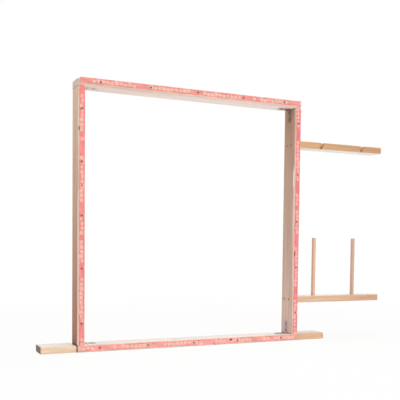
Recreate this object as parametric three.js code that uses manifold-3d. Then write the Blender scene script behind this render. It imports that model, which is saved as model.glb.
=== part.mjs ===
// Tufting frame: a wooden frame on which backing cloth is stretched over pinned gripper strips.
// It has two clamp feet, a yarn guide arm, and a spindle arm with two lift-out spindles.
// Millimetres, +Z up. The rails run along X and the gripper strips face -Y.
// The origin is the middle of the bottom rail's underside.

import * as THREE from 'three';
import { mergeGeometries, mergeVertices } from 'three/addons/utils/BufferGeometryUtils.js';
import Module from 'manifold-3d';

const wasm = await Module();
wasm.setup();

// Planks of the frame
const railLength = 1000;
const uprightLength = 1000;
const plankThickness = 28;
const plankDepth = 84;
const plankArris = 3;
const arrisSteps = 3;

// Clearances
const seatGap = 0.3;
const holeGap = 0.3;

// Gripper strips, a thin lath with a printed face.
// A margin is what shows of the plank outside its strip, and a shift slides a strip along its plank.
const stripWidth = 25;
const stripThickness = 6.5;
const railStripEndMargin = 3;
const uprightStripEndMargin = 0;
const topStripMargin = -3.5;
const rightStripMargin = 0;
const bottomStripMargin = 3;
const leftStripMargin = 2;
const topStripShift = 3;

// Tack pins, pressed into each strip in two staggered rows that lean away from the window
const pinPitch = 50;
const pinEndMargin = 5;
const pinRowSpacing = 16;
const pinRadius = 0.65;
const pinReach = 5;
const pinPoint = 3;
const pinLean = THREE.MathUtils.degToRad(30);
const pinSides = 4;

// Nails that hold the strips
// They are spaced by eye, so each drifts along its side from its even place.
const nailsPerStrip = 5;
const nailEndOffset = 88;
const nailDrifts = {
  top: [0, 0, 0, 5, 0],
  right: [-22, -2, -2, -4, -9],
  bottom: [-5, 7, 7, 2, 0],
  left: [-2, 6, 4, 4, 0],
};
const nailHeadRadius = 4;
const nailHeadHeight = 1.2;
const nailHeadRound = 0.5;
const nailShankRadius = 1.3;
const nailBite = 21.5;
const nailPoint = 3;
const nailSides = 8;

// Corner brackets and their screws
const bracketLeg = 55;
const bracketWidth = 20;
const bracketPlate = 2;
const bracketBend = 3;
const bracketInnerScrew = 15;
const bracketEndScrew = 12;
const bracketScrewHeadRadius = 3.6;
const bracketScrewHeadHeight = 1.8;
const bracketScrewShankRadius = 1.6;
const bracketScrewPoint = 4;
const bracketScrewSides = 10;

// Clamp feet and the loose tenon in each butt joint
const leftFootLength = 142;
const rightFootLength = 147;
const footSetback = 4;
const footInnerRound = 10;
const footOuterRound = 3;
const tenonLength = 50;
const tenonWidth = 40;
const tenonThickness = 10;
const tenonSteps = 4;

// Yarn arms and the screws that hold them through the right upright
const armLength = 454;
const armEndOffset = 183;
const armCornerRound = 8;
const armScrewFront = 26;
const guideArmScrewDrop = 3;
const armScrewSpacing = 34;
const armScrewHeadRadius = 4.8;
const armScrewHeadHeight = 4;
const armScrewShankRadius = 2.5;
const armScrewBite = 47;
const armScrewPoint = 8;
const armScrewSides = 12;

// Slanted slots in the guide arm's front edge
const innerSlotOffset = 117;
const outerSlotOffset = 338;
const innerSlotSlant = THREE.MathUtils.degToRad(27);
const outerSlotSlant = THREE.MathUtils.degToRad(34);
const slotWidth = 17;
const slotDepth = 20;
const slotEndSteps = 6;

// Spindles, standing loose in blind holes
const innerSpindleOffset = 113;
const outerSpindleOffset = 331;
const spindleRadius = 9;
const spindleLength = 283;
const spindleFloorWall = 8;
const spindleChamfer = 1.5;
const spindleSides = 24;

// Worked-out sizes
const frameHeight = uprightLength + 2 * (plankThickness + seatGap);
const frameMiddle = frameHeight / 2;
const halfWidth = railLength / 2;
const halfDepth = plankDepth / 2;

const nailLength = stripThickness + nailBite;

// Sides of the frame, each turned about Y from the top side, with its outer face at reach
const sides = [
  { name: 'top', plank: 'top_rail', turn: 0, length: railLength, reach: frameMiddle },
  { name: 'right', plank: 'right_upright', turn: Math.PI / 2, length: uprightLength, reach: halfWidth },
  { name: 'bottom', plank: 'bottom_rail', turn: Math.PI, length: railLength, reach: frameMiddle },
  { name: 'left', plank: 'left_upright', turn: -Math.PI / 2, length: uprightLength, reach: halfWidth },
];
const stripMargins = {
  top: topStripMargin,
  right: rightStripMargin,
  bottom: bottomStripMargin,
  left: leftStripMargin,
};
const stripShifts = { top: topStripShift, right: 0, bottom: 0, left: 0 };
const stripEndMargins = {
  top: railStripEndMargin,
  right: uprightStripEndMargin,
  bottom: railStripEndMargin,
  left: uprightStripEndMargin,
};

const bracketScrew = {
  headRadius: bracketScrewHeadRadius,
  headHeight: bracketScrewHeadHeight,
  shankRadius: bracketScrewShankRadius,
  length: bracketPlate + plankThickness / 2,
  point: bracketScrewPoint,
  steps: bracketScrewSides,
};
const armScrew = {
  headRadius: armScrewHeadRadius,
  headHeight: armScrewHeadHeight,
  shankRadius: armScrewShankRadius,
  length: plankThickness + armScrewBite,
  point: armScrewPoint,
  steps: armScrewSides,
};

const pine = { color: 0xe3c09a, roughness: 0.7, metalness: 0 };
const beech = { color: 0xd9a981, roughness: 0.6, metalness: 0 };
const printedLath = { color: 0xf29a90, roughness: 0.6, metalness: 0 };
const darkSteel = { color: 0x6b6258, roughness: 0.45, metalness: 0.9 };
const zincSteel = { color: 0x9c9a9b, roughness: 0.4, metalness: 0.9 };

// Holes that each fastener needs, in the frame of its own mesh
const holes = new Map();

const frame = new THREE.Group();

function namedMesh(name, geometry, finish) {
  const mesh = new THREE.Mesh(geometry, new THREE.MeshStandardMaterial(finish));
  mesh.name = name;
  return mesh;
}

// Geometry to solid and back

function bare(geometry) {
  const copy = geometry.index ? geometry.toNonIndexed() : geometry.clone();
  copy.deleteAttribute('normal');
  copy.deleteAttribute('uv');
  return copy;
}

function toSolid(geometry) {
  const merged = mergeVertices(bare(geometry), 1e-4);
  const triVerts = new Uint32Array(merged.index.array);
  const vertProperties = new Float32Array(merged.attributes.position.array);
  return new wasm.Manifold(new wasm.Mesh({ numProp: 3, vertProperties, triVerts }));
}

function toGeometry(solid) {
  const mesh = solid.getMesh();
  const geometry = new THREE.BufferGeometry();
  geometry.setAttribute('position', new THREE.BufferAttribute(mesh.vertProperties, 3));
  geometry.setIndex(new THREE.BufferAttribute(mesh.triVerts, 1));
  geometry.computeVertexNormals();
  return geometry;
}

// Cuts a tool, placed in the piece's own frame, out of the piece.
function cut(piece, tool, place) {
  const placed = tool.clone().applyMatrix4(place);
  piece.geometry = toGeometry(toSolid(piece.geometry).subtract(toSolid(placed)));
}

// Cuts out of a placed piece the holes that its placed fasteners need.
function bore(piece, fasteners) {
  frame.updateMatrixWorld(true);
  const toPiece = piece.matrixWorld.clone().invert();
  for (const fastener of fasteners) {
    cut(piece, holes.get(fastener), toPiece.clone().multiply(fastener.matrixWorld));
  }
}

// Boards: length along X, depth along Y and thickness along Z, all centred

function roundedRectangle(width, height, radius) {
  const x = width / 2 - radius;
  const y = height / 2 - radius;
  const shape = new THREE.Shape();
  shape.absarc(x, y, radius, 0, Math.PI / 2);
  shape.absarc(-x, y, radius, Math.PI / 2, Math.PI);
  shape.absarc(-x, -y, radius, Math.PI, 1.5 * Math.PI);
  shape.absarc(x, -y, radius, 1.5 * Math.PI, 2 * Math.PI);
  return shape;
}

// Turns a section in X and Y, extruded along Z, so that it runs along X.
function alongX() {
  const x = new THREE.Vector3(1, 0, 0);
  const y = new THREE.Vector3(0, 1, 0);
  const z = new THREE.Vector3(0, 0, 1);
  return new THREE.Matrix4().makeBasis(y, z, x);
}

function board(length) {
  const section = roundedRectangle(plankDepth, plankThickness, plankArris);
  const options = { depth: length, bevelEnabled: false, curveSegments: arrisSteps };
  const geometry = new THREE.ExtrudeGeometry(section, options);
  geometry.translate(0, 0, -length / 2);
  return geometry.applyMatrix4(alongX());
}

// Keeps of a board only what lies inside an outline, which is extruded along Z and then turned.
function trimmed(boardGeometry, outline, reach, turn = 0) {
  const options = { depth: reach, bevelEnabled: false, curveSegments: arrisSteps };
  const prism = new THREE.ExtrudeGeometry(outline, options);
  prism.translate(0, 0, -reach / 2);
  prism.rotateX(turn);
  return toGeometry(toSolid(boardGeometry).intersect(toSolid(prism)));
}

// A turned solid from profile points [radius, height], with its axis along Z
function turned(profile, steps) {
  const points = profile.map(([radius, height]) => new THREE.Vector2(radius, height));
  return new THREE.LatheGeometry(points, steps).rotateX(Math.PI / 2);
}

// Screws and nails point down -Z from a seat at the origin

function screwShape({ headRadius, headHeight, shankRadius, length, point, steps }) {
  const profile = [
    [0, -length],
    [shankRadius, point - length],
    [shankRadius, -headHeight],
    [headRadius, 0],
    [0, 0],
  ];
  return turned(profile, steps);
}

// The hole reaches past the seat, so that its mouth is cut clean.
function screwHole({ headRadius, headHeight, shankRadius, length, point, steps }) {
  const mouth = 2 * seatGap;
  const profile = [
    [0, -length - holeGap],
    [shankRadius + holeGap, point - length - holeGap],
    [shankRadius + holeGap, -headHeight - holeGap],
    [headRadius + holeGap, 0],
    [headRadius + holeGap, mouth],
    [0, mouth],
  ];
  return turned(profile, steps);
}

function nailShape() {
  const profile = [
    [0, -nailLength],
    [nailShankRadius, nailPoint - nailLength],
    [nailShankRadius, 0],
    [nailHeadRadius, 0],
    [nailHeadRadius, nailHeadHeight - nailHeadRound],
    [0, nailHeadHeight],
  ];
  return turned(profile, nailSides);
}

function nailHole() {
  const profile = [
    [0, -nailLength - holeGap],
    [nailShankRadius + holeGap, nailPoint - nailLength - holeGap],
    [nailShankRadius + holeGap, seatGap],
    [0, seatGap],
  ];
  return turned(profile, nailSides);
}

function at(x, y, z) {
  return new THREE.Matrix4().makeTranslation(x, y, z);
}

// A fastener is one mesh, and its hole is kept for the pieces that it goes through.
function fastener(name, shape, hole, finish, place) {
  const mesh = namedMesh(name, shape, finish);
  place.decompose(mesh.position, mesh.quaternion, mesh.scale);
  holes.set(mesh, hole);
  return mesh;
}

// Gripper strip in its own frame: length along X, width along Y outwards, top face up at Z = 0

function pinnedLath(length) {
  const lath = new THREE.BoxGeometry(length, stripWidth, stripThickness);
  lath.translate(0, 0, -stripThickness / 2);
  const pin = turned([
    [0, -stripThickness / 2],
    [pinRadius, -stripThickness / 2],
    [pinRadius, pinReach - pinPoint],
    [0, pinReach],
  ], pinSides);
  pin.rotateX(-pinLean);
  const stagger = pinPitch / 2;
  const steps = Math.floor((length - 2 * pinEndMargin - stagger) / pinPitch);
  const pins = [];
  for (const row of [-1, 1]) {
    for (let i = 0; i <= steps; i += 1) {
      const x = (i - steps / 2) * pinPitch - (row * stagger) / 2;
      const y = (row * pinRowSpacing) / 2;
      pins.push(bare(pin.clone().translate(x, y, 0)));
    }
  }
  return toGeometry(toSolid(lath).add(toSolid(mergeGeometries(pins))));
}

function gripperStrip(side) {
  const strip = new THREE.Group();
  const lath = pinnedLath(side.length - 2 * stripEndMargins[side.name]);
  const body = namedMesh(`${side.name}_gripper_strip`, lath, printedLath);
  const pitch = (side.length - 2 * nailEndOffset) / (nailsPerStrip - 1);
  const nails = [];
  for (let i = 0; i < nailsPerStrip; i += 1) {
    const evenly = nailEndOffset - side.length / 2 + i * pitch;
    const x = evenly + nailDrifts[side.name][i] - stripShifts[side.name];
    const name = `${side.name}_strip_nail_${i + 1}`;
    nails.push(fastener(name, nailShape(), nailHole(), darkSteel, at(x, 0, seatGap)));
  }
  strip.add(body, ...nails);
  strip.rotation.x = Math.PI / 2;
  return { strip, body, nails };
}

// Frame: four planks in a square, with a strip on the front of each

const planks = {};
const fastenersOf = {};

for (const side of sides) {
  const turn = new THREE.Group();
  turn.position.z = frameMiddle;
  turn.rotation.y = side.turn;
  frame.add(turn);

  const plank = namedMesh(side.plank, board(side.length), pine);
  plank.position.z = side.reach - plankThickness / 2;
  turn.add(plank);
  planks[side.name] = plank;

  const { strip, body, nails } = gripperStrip(side);
  const stripFace = halfDepth + seatGap + stripThickness;
  const stripLine = side.reach - stripMargins[side.name] - stripWidth / 2;
  strip.position.set(stripShifts[side.name], -stripFace, stripLine);
  turn.add(strip);
  bore(body, nails);
  fastenersOf[side.name] = nails;
}

// Corner bracket in its own frame: the corner is at the origin and its legs run along +X and +Z

function bracketScrews(corner) {
  const seat = seatGap + bracketPlate;
  const shape = screwShape(bracketScrew);
  const hole = screwHole(bracketScrew);
  const ontoUpright = new THREE.Matrix4().makeRotationY(Math.PI / 2);
  const zLeg = corner.xLeg === 'rail' ? 'upright' : 'rail';
  const screws = { rail: [], upright: [] };
  [bracketInnerScrew, bracketLeg - bracketEndScrew].forEach((along, i) => {
    const places = {
      [corner.xLeg]: at(along, 0, seat),
      [zLeg]: at(seat, 0, along).multiply(ontoUpright),
    };
    for (const plank of ['rail', 'upright']) {
      const name = `${corner.name}_bracket_${plank}_screw_${i + 1}`;
      screws[plank].push(fastener(name, shape, hole, darkSteel, places[plank]));
    }
  });
  return screws;
}

function bracketPlateShape() {
  const outer = seatGap;
  const inner = seatGap + bracketPlate;
  const end = seatGap + bracketLeg;
  const outerBend = bracketBend + bracketPlate;
  const centre = seatGap + outerBend;
  const profile = new THREE.Shape();
  profile.moveTo(end, outer);
  profile.lineTo(end, inner);
  profile.lineTo(centre, inner);
  profile.absarc(centre, centre, bracketBend, 1.5 * Math.PI, Math.PI, true);
  profile.lineTo(inner, end);
  profile.lineTo(outer, end);
  profile.absarc(centre, centre, outerBend, Math.PI, 1.5 * Math.PI, false);
  profile.closePath();
  const options = { depth: bracketWidth, bevelEnabled: false, curveSegments: arrisSteps };
  const plate = new THREE.ExtrudeGeometry(profile, options);
  plate.translate(0, 0, -bracketWidth / 2);
  return plate.rotateX(Math.PI / 2);
}

// Each corner is turned about Y from the bottom left one, so that its X leg lies on a rail or an upright.
const corners = [
  { name: 'bottom_left', rail: 'bottom', upright: 'left', turn: 0, xLeg: 'rail' },
  { name: 'top_left', rail: 'top', upright: 'left', turn: Math.PI / 2, xLeg: 'upright' },
  { name: 'top_right', rail: 'top', upright: 'right', turn: Math.PI, xLeg: 'rail' },
  { name: 'bottom_right', rail: 'bottom', upright: 'right', turn: -Math.PI / 2, xLeg: 'upright' },
];
const innerWidth = railLength - 2 * plankThickness;
const innerHeight = frameHeight - 2 * plankThickness;

for (const corner of corners) {
  const bracket = new THREE.Group();
  const x = corner.upright === 'left' ? -innerWidth / 2 : innerWidth / 2;
  const z = corner.rail === 'bottom' ? -innerHeight / 2 : innerHeight / 2;
  bracket.position.set(x, 0, frameMiddle + z);
  bracket.rotation.y = corner.turn;
  frame.add(bracket);

  const plate = namedMesh(`${corner.name}_bracket`, bracketPlateShape(), zincSteel);
  const screws = bracketScrews(corner);
  bracket.add(plate, ...screws.rail, ...screws.upright);
  bore(plate, [...screws.rail, ...screws.upright]);
  fastenersOf[corner.rail].push(...screws.rail);
  fastenersOf[corner.upright].push(...screws.upright);
}

// Clamp feet: a foot meets the end of the bottom rail, set back from its front

function footShape(length) {
  const shape = new THREE.Shape();
  const x = length / 2;
  const z = plankThickness / 2;
  shape.moveTo(-x, -z);
  shape.lineTo(x - footOuterRound, -z);
  shape.absarc(x - footOuterRound, -z + footOuterRound, footOuterRound, 1.5 * Math.PI, 2 * Math.PI);
  shape.absarc(x - footOuterRound, z - footOuterRound, footOuterRound, 0, Math.PI / 2);
  shape.absarc(-x + footInnerRound, z - footInnerRound, footInnerRound, Math.PI / 2, Math.PI);
  shape.closePath();
  return trimmed(board(length), shape, 2 * plankDepth, Math.PI / 2);
}

function tenonShape(gap) {
  const width = tenonWidth + 2 * gap;
  const thickness = tenonThickness + 2 * gap;
  const section = roundedRectangle(width, thickness, thickness / 2 - gap);
  const length = tenonLength + 2 * gap;
  const options = { depth: length, bevelEnabled: false, curveSegments: tenonSteps };
  const tenon = new THREE.ExtrudeGeometry(section, options);
  tenon.translate(0, 0, -length / 2);
  return tenon.applyMatrix4(alongX());
}

for (const [name, hand, length] of [['left', -1, leftFootLength], ['right', 1, rightFootLength]]) {
  const joint = new THREE.Group();
  joint.position.set(hand * halfWidth, 0, plankThickness / 2);
  joint.rotation.z = hand < 0 ? Math.PI : 0;
  frame.add(joint);

  const foot = namedMesh(`${name}_foot`, footShape(length), pine);
  foot.position.set(seatGap + length / 2, hand * footSetback, 0);
  const tenon = fastener(`${name}_foot_tenon`, tenonShape(0), tenonShape(holeGap), beech, at(0, 0, 0));
  joint.add(foot, tenon);
  bore(foot, [tenon]);
  fastenersOf.bottom.push(tenon);
}

// Yarn arms: each board stands out from the right upright, and its frame's origin is at its root

function armShape() {
  const shape = new THREE.Shape();
  const x = armLength / 2;
  const y = plankDepth / 2;
  const turnX = x - armCornerRound;
  const turnY = y - armCornerRound;
  shape.moveTo(-x, -y);
  shape.lineTo(turnX, -y);
  shape.absarc(turnX, -turnY, armCornerRound, 1.5 * Math.PI, 2 * Math.PI);
  shape.absarc(turnX, turnY, armCornerRound, 0, Math.PI / 2);
  shape.lineTo(-x, y);
  shape.closePath();
  return trimmed(board(armLength), shape, 2 * plankThickness);
}

function yarnArm(name, height, screwDrop) {
  const arm = new THREE.Group();
  arm.position.set(halfWidth + seatGap, 0, height);
  frame.add(arm);
  const body = namedMesh(`${name}_arm`, armShape(), pine);
  body.position.x = armLength / 2;

  const seat = -seatGap - plankThickness;
  const intoArm = new THREE.Matrix4().makeRotationY(-Math.PI / 2);
  const screws = ['front', 'back'].map((row, i) => {
    const y = armScrewFront - halfDepth + i * armScrewSpacing;
    const place = at(seat, y, -screwDrop).multiply(intoArm);
    const screwName = `${name}_arm_screw_${row}`;
    return fastener(screwName, screwShape(armScrew), screwHole(armScrew), zincSteel, place);
  });
  arm.add(body, ...screws);
  bore(body, screws);
  fastenersOf.right.push(...screws);
  return { arm, body };
}

const guide = yarnArm('yarn_guide', frameHeight - armEndOffset, guideArmScrewDrop);
const rest = yarnArm('spindle', armEndOffset, 0);

// Guide slots: yarn slips in from the front edge and runs in the slot's round end
const slots = [[innerSlotOffset, innerSlotSlant], [outerSlotOffset, outerSlotSlant]];
for (const [offset, slant] of slots) {
  const radius = slotWidth / 2;
  const mouth = plankArris + radius;
  const plan = new THREE.Shape();
  plan.moveTo(-radius, -halfDepth - mouth);
  plan.lineTo(radius, -halfDepth - mouth);
  plan.absarc(0, -halfDepth + slotDepth - radius, radius, 0, Math.PI);
  plan.closePath();
  const reach = (plankThickness + 2 * slotWidth) / Math.cos(slant);
  const options = { depth: reach, bevelEnabled: false, curveSegments: slotEndSteps };
  const kerf = new THREE.ExtrudeGeometry(plan, options);
  kerf.translate(0, 0, -reach / 2);
  kerf.rotateY(slant);
  cut(guide.body, kerf, at(offset - armLength / 2, 0, 0));
}

// Spindles: a round rod whose foot stands in a blind hole of the spindle arm

function rod(radius, foot, top, chamfer) {
  const profile = [
    [0, foot],
    [radius - chamfer, foot],
    [radius, foot + chamfer],
    [radius, top - chamfer],
    [radius - chamfer, top],
    [0, top],
  ];
  return turned(profile, spindleSides);
}

const spindleFloor = spindleFloorWall - plankThickness / 2;
const spindleFoot = spindleFloor + seatGap;
const spindleTop = spindleFoot + spindleLength;
const spindles = [['inner_spindle', innerSpindleOffset], ['outer_spindle', outerSpindleOffset]];
for (const [name, offset] of spindles) {
  const spindle = namedMesh(name, rod(spindleRadius, spindleFoot, spindleTop, spindleChamfer), beech);
  spindle.position.x = offset;
  rest.arm.add(spindle);
  const hole = turned([
    [0, spindleFloor],
    [spindleRadius + holeGap, spindleFloor],
    [spindleRadius + holeGap, plankThickness],
    [0, plankThickness],
  ], spindleSides);
  cut(rest.body, hole, at(offset - armLength / 2, 0, 0));
}

for (const side of sides) {
  bore(planks[side.name], fastenersOf[side.name]);
}

export default frame;
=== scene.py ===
"""Looks of the tufting frame, laid out as an add-on.

It makes the boards, gripper strips, fixings and spindles, and the studio that they stand in.
"""

import math

import bmesh
import bpy
from bpy.props import FloatProperty, FloatVectorProperty, IntProperty, PointerProperty
from mathutils import Matrix, Vector, noise


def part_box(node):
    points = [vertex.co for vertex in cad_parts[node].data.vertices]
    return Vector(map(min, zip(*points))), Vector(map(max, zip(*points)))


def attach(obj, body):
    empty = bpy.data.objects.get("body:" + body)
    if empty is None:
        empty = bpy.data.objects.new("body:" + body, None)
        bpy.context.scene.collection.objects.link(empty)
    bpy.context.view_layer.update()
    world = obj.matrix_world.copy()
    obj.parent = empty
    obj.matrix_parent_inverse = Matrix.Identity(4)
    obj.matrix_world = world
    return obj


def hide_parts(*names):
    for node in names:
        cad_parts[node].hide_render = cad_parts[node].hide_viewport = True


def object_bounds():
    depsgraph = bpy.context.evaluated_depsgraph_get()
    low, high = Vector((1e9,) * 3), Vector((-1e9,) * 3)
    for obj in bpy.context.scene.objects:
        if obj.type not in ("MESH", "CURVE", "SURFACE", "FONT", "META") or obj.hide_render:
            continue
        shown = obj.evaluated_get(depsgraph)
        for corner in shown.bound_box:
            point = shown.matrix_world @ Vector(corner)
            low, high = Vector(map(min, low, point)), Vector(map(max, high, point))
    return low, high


bl_info = {
    "name": "Tufting Frame",
    "version": (1, 0, 0),
    "blender": (4, 5, 0),
    "location": "3D View > Sidebar > Tufting Frame",
    "description": "Dresses a wooden tufting frame: boards, gripper strips, fixings and spindles",
    "category": "Object",
}

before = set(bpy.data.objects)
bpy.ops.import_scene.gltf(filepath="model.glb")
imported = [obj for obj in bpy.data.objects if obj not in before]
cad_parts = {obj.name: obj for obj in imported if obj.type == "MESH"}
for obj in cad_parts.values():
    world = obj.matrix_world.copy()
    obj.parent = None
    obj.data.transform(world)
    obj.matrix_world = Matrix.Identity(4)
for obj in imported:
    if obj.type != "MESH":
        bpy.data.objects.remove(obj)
SOLID_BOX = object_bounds()
MM = 0.001

# Picture that the camera matches
PICTURE_PIXELS = 400
FOCAL_PIXELS = 687.4
LENS_ROW = 275.95
SENSOR_WIDTH = 36
CAMERA_PLACE = Vector((-1.177, -2.652, 0.4356))
CAMERA_YAW = 0.4304
CAMERA_PITCH = -0.0494
CAMERA_ROLL = 0.0114

# Mesh repair of the solids: points closer than WELD are one, and faces that turn less than FLAT are one
WELD = 0.01 * MM
FLAT = math.radians(1)
SHARP = math.radians(40)

# Sides of the frame: which way each strip's length runs, and which way is out of the window
FRONT = Vector((0, -1, 0))
SIDES = {
    "top": (Vector((1, 0, 0)), Vector((0, 0, 1))),
    "right": (Vector((0, 0, -1)), Vector((1, 0, 0))),
    "bottom": (Vector((-1, 0, 0)), Vector((0, 0, -1))),
    "left": (Vector((0, 0, 1)), Vector((-1, 0, 0))),
}

# The values that a noise mostly takes, as Map Range's sockets
NOISE_SPAN = {1: 0.3, 2: 0.7}

# Boards: the axis of the grain, where the pith lies from the board's middle across its thickness
# and its depth, how far along the trunk it was sawn, how far from the pith the sapwood starts, all
# in metres, the colour at its low and high ends, which on the uprights is painted shade and on the
# other boards a slight change of tone, how strongly its sawn ends and the faces beside them are
# darkened, as end grain and painted shade, and how much the planed face shines, where 0.5 is bare
# wood's own gloss
BOARDS = {
    "top_rail": ("X", 0.046, 0.016, 0.4, 0.5, "#F9F2EC", "#FFFFFF", 0.0, 0.5),
    "bottom_rail": ("X", -0.05, -0.026, 3.1, 0.5, "#FFFFFF", "#FFFFFF", 1.0, 0.5),
    "left_upright": ("Z", 0.012, 0.198, 7.2, 0.2365, "#B5A09E", "#FFFFFF", 0.8, 0.0),
    "right_upright": ("Z", -0.009, 0.198, 11.6, 0.24, "#FFFFFF", "#D9C9B9", 0.8, 0.0),
    "left_foot": ("X", 0.061, -0.058, 15.3, 0.077, "#FFFFFF", "#FFFFFF", 1.0, 0.5),
    "right_foot": ("X", 0.06, -0.057, 19.7, 0.0757, "#FFFFFF", "#FFFFFF", 0.8, 0.5),
    "yarn_guide_arm": ("X", -0.03, -0.068, 23.2, 0.056, "#FFFFFF", "#EDE7DE", 0.35, 1.0),
    "spindle_arm": ("X", 0.06, -0.06, 27.9, 0.0762, "#FFFFFF", "#E8DDD4", 0.35, 0.5),
}
GRAIN_AXES = {"X": Vector((1, 0, 0)), "Z": Vector((0, 0, 1))}

# Pine: how far the trunk wanders, how far a knot pushes the rings aside, over what width sapwood turns
# pale, how strongly the rings show, and how far along a board the painted shade beside its sawn ends
# reaches
TRUNK_WANDER = 14 * MM
KNOT_PUSH = 6 * MM
SAPWOOD_FADE = 3 * MM
RING_STRENGTH = 0.62
RIM_WIDTH = 4 * MM

# Where the beech's pith lies from the middle of a spindle or a tenon, on X and on Y
BEECH_PITH = (38 * MM, 21 * MM)

# A lath's loft: from one station to the next, and how many times in a metre its sawn edges sway
STATION_SPACING = 7 * MM
SWAYS = 40

# Knots in the laths' face veneer: where they lie on X and Z, and half their length and width, all in
# millimetres
LATH_KNOTS = {
    "right": ((479.8, 386, 13, 3.4),),
    "bottom": ((167.4, 19.3, 7.5, 5.5),),
    "left": ((-496.3, 865, 9, 2.4), (-484.9, 648, 7, 2.6)),
}

# From one strip's middle to the next one's in the attribute strip_place, in millimetres
STRIP_OFFSET = 2016

# Half the core ply, and how far the print's edge waves, in millimetres
CORE_HALF = 1.1
PRINT_WAVE = 1.4

# Printed marks: how far they slip across the strip, and half the length of bars and of arrowheads, in
# millimetres, the least and the greatest height as shares of the mark height, and how much ink the
# least clean mark has lost
MARK_SLIP = 2.6
MARK_HALF_LENGTH = 7.2
LEAST_HEIGHT = 0.62
GREATEST_HEIGHT = 1.05
CLEAN_LOW = 0.88

# Bars and arrowheads: their slope, the millimetres from one to the next, and the share that is bare
BARS = (0.35, 4.6, 0.52)
HEADS = (0.9, 6.5, 0.5)

# Diamonds: half the width of their line, and how far its middle lies inside the mark's height
DIAMOND_LINE = 1.7
DIAMOND_INSET = 2

# What a cell's draw from 0 to 1 gives it: bars, then a diamond, then arrowheads, then nothing
BARS_BELOW = 0.5
HEADS_ABOVE = 0.74
PLAIN_ABOVE = 0.93

# Marks come in runs: of every RUN_CELLS cells, MARKED_CELLS have a mark, counted from RUN_START
RUN_START = 12
RUN_CELLS = 13
MARKED_CELLS = 10

# Faces round a tack pin, and the least and the greatest turns about X, Y and Z, in radians, that a pin
# and a nail's or a screw's head were driven with
PIN_SIDES = 8
PIN_SWAY = ((-0.06, -0.07, 0), (0.0, 0.07, 1.5))
HEAD_SWAY = ((0, 0, 0), (0.04, 0.04, 6.28))

# A nail's point, and the nail from its waist to the middle of its head: shares of the head's radius,
# and heights in millimetres from the head's top
NAIL_POINT = 3 * MM
NAIL_SHANK = 0.37
NAIL_HEAD = (
    (NAIL_SHANK, -1.6), (0.55, -1.25), (0.93, -1.15), (1, -0.85), (0.97, -0.45), (0.82, -0.15),
    (0.45, -0.02), (0, 0),
)

# A cross recess: its wedges' length and width at the top and at the point, as shares of the radius
RECESS_TOP = (1.3, 0.48)
RECESS_POINT = (0.5, 0.288)

# A screw, in shares of its shank's radius: the thread's pitch and root, the neck, and the point's
# length and blunt end
THREAD_PITCH = 1.1
THREAD_ROOT = 0.72
SCREW_NECK = 0.8
SCREW_POINT = (1.6, 0.45)

# Corner brackets: which way the rail's inner face and the upright's inner face look, and the zinc
# plate's colour at that corner: the plate's own dull grey, set lighter or darker as painted shade,
# darkest at the top right where the top rail shades the upright
CORNERS = {
    "bottom_left": (Vector((0, 0, 1)), Vector((1, 0, 0)), "#BDB0AB"),
    "top_left": (Vector((0, 0, -1)), Vector((1, 0, 0)), "#CCC4C2"),
    "top_right": (Vector((0, 0, -1)), Vector((-1, 0, 0)), "#846B5E"),
    "bottom_right": (Vector((0, 0, 1)), Vector((-1, 0, 0)), "#AA9A98"),
}
BRACKET_EASE = 0.35 * MM

# Studio: half the floor's width, how far from the frame the floor starts and ends turning white, how
# white it starts, and each lamp's place from the frame's middle, its width and its height
FLOOR_HALF = 8.0
FADE_FROM = 0.9
FADE_TO = 2.4
NEAR_WHITE = 0.86
SOFTBOXES = {
    "overhead": (Vector((0, -0.3, 2.4)), 3.0, 2.4),
    "front": (Vector((0.1, -3.2, -0.1)), 3.0, 0.8),
}


# Values


def linear(code):
    """Linear colour of an sRGB hex code."""
    channels = [int(code[i:i + 2], 16) / 255 for i in (1, 3, 5)]
    return [c / 12.92 if c <= 0.04045 else ((c + 0.055) / 1.055) ** 2.4 for c in channels]


def opaque(colour):
    """A colour with full alpha, as a colour socket takes it."""
    return (*colour, 1)


def colour(name, description, code):
    """A colour that the user can change."""
    scale = {"subtype": "COLOR", "size": 3, "min": 0, "max": 1}
    return FloatVectorProperty(name=name, description=description, default=linear(code), **scale)


def amount(name, description, value, **scale):
    """A number from 0 up that the user can change."""
    return FloatProperty(name=name, description=description, default=value, min=0, **scale)


def size(name, description, millimetres):
    """A length that the user can change."""
    metres = millimetres * MM
    return amount(name, description, metres, subtype="DISTANCE", unit="LENGTH", precision=4)


class PineSettings(bpy.types.PropertyGroup):
    """Finish of the planed pine boards."""

    # Each board's colour is partly its own pine and partly painted light, set for how that board is lit
    top_rail: colour("Top rail", "Pine of the top rail", "#F7EBE5")
    bottom_rail: colour("Bottom rail", "Pine of the bottom rail", "#F3EBE6")
    left_upright: colour("Left upright", "Pine of the left upright", "#FEE3CB")
    right_upright: colour("Right upright", "Pine of the right upright", "#E4D0C6")
    left_foot: colour("Left foot", "Pine of the left foot", "#FDE6CB")
    right_foot: colour("Right foot", "Pine of the right foot", "#ECC9A3")
    yarn_guide_arm: colour("Guide arm", "Pine of the yarn guide arm", "#DCAF7E")
    spindle_arm: colour("Spindle arm", "Pine of the spindle arm", "#F0CEAF")
    sapwood: colour("Sapwood", "Pale young wood, far from the pith", "#FAF1E8")
    late_wood: colour("Late wood", "Tint that each growth ring ends in", "#D9A27A")
    knot: colour("Knot", "Colour of a knot's heart", "#8A5638")
    sawn_end: colour("Sawn end", "Tint of the end grain", "#96888A")
    ring_spacing: size("Ring spacing", "Width of one growth ring", 4.2)
    ease: size("Ease", "Width that sanding takes off a sharp edge", 0.6)


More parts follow.
